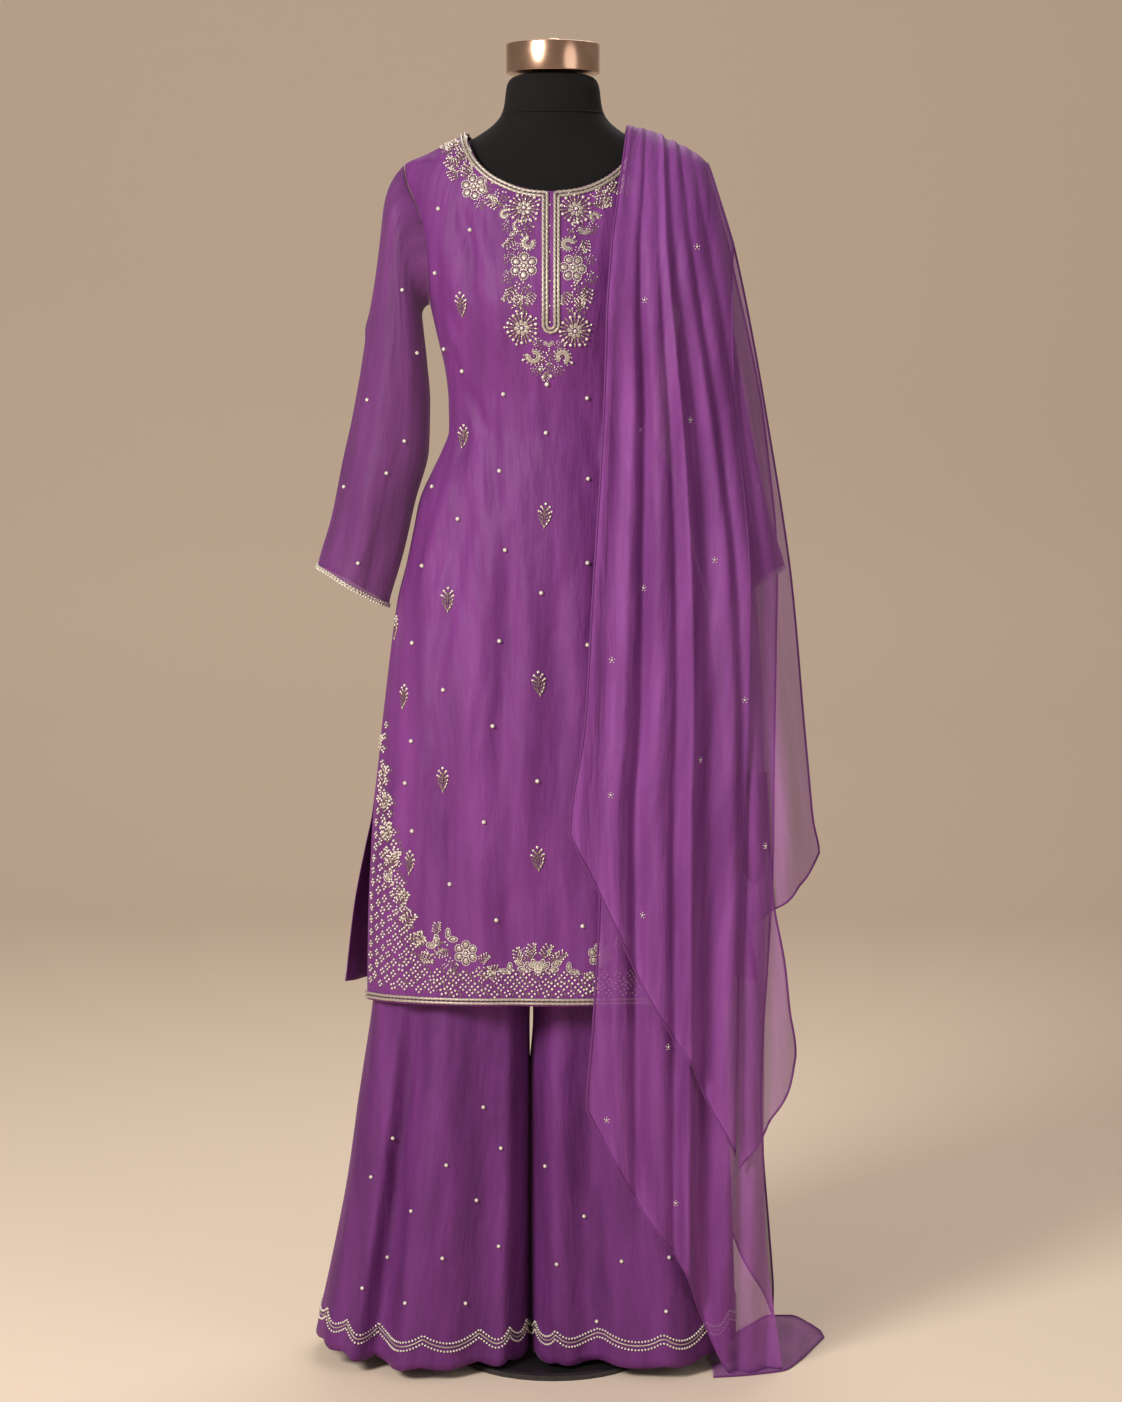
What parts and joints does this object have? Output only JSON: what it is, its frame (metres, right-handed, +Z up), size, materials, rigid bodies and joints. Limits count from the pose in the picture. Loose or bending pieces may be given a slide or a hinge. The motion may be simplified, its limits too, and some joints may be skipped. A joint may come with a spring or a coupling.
{
  "type": "palazzo suit on a dress form",
  "caption": "Long embroidered tunic with side slits, wide palazzo trousers and a sheer shoulder scarf, worn by a limbless dress form that stands on a round base.",
  "frame": {"origin": "middle of the underside of the dress form's round base, on the floor", "axes": "+Z up along the form's pole, -Y the way the front of the suit faces, +X the wearer's left"},
  "size_m": [0.601, 0.3054, 1.5223],
  "materials": {
    "black_jersey": "matte stretch jersey",
    "rose_metal": "polished rose-coloured metal",
    "black_steel": "black satin paint",
    "tunic_silk": "crisp purple silk with a soft sheen",
    "sleeve_silk": "sheer purple silk",
    "trouser_silk": "purple silk, a shade deeper than the tunic",
    "scarf_net": "sheer purple net",
    "silver_cord": "ivory and silver metallic thread"
  },
  "bodies": {
    "root": {"form_torso": "black_jersey", "form_neck_cap": "rose_metal", "form_pole": "black_steel", "form_base": "black_steel", "kurta_front": "tunic_silk", "kurta_back": "tunic_silk", "neck_cord_right": "silver_cord", "neck_cord_left": "silver_cord", "neck_cord_back": "silver_cord", "placket": "silver_cord", "hem_cord_front": "silver_cord", "hem_cord_back": "silver_cord", "sleeve_right": "sleeve_silk", "sleeve_left": "sleeve_silk", "cuff_right": "silver_cord", "cuff_left": "silver_cord", "trouser_right_front": "trouser_silk", "trouser_right_back": "trouser_silk", "trouser_left_front": "trouser_silk", "trouser_left_back": "trouser_silk", "waistband": "trouser_silk", "dupatta_shoulder": "scarf_net", "dupatta_upper_fall": "scarf_net", "dupatta_side_fall": "scarf_net", "dupatta_lower_fall": "scarf_net", "dupatta_cascade": "scarf_net", "dupatta_back_fall": "scarf_net", "dupatta_tail": "scarf_net"}
  },
  "joints": []
}
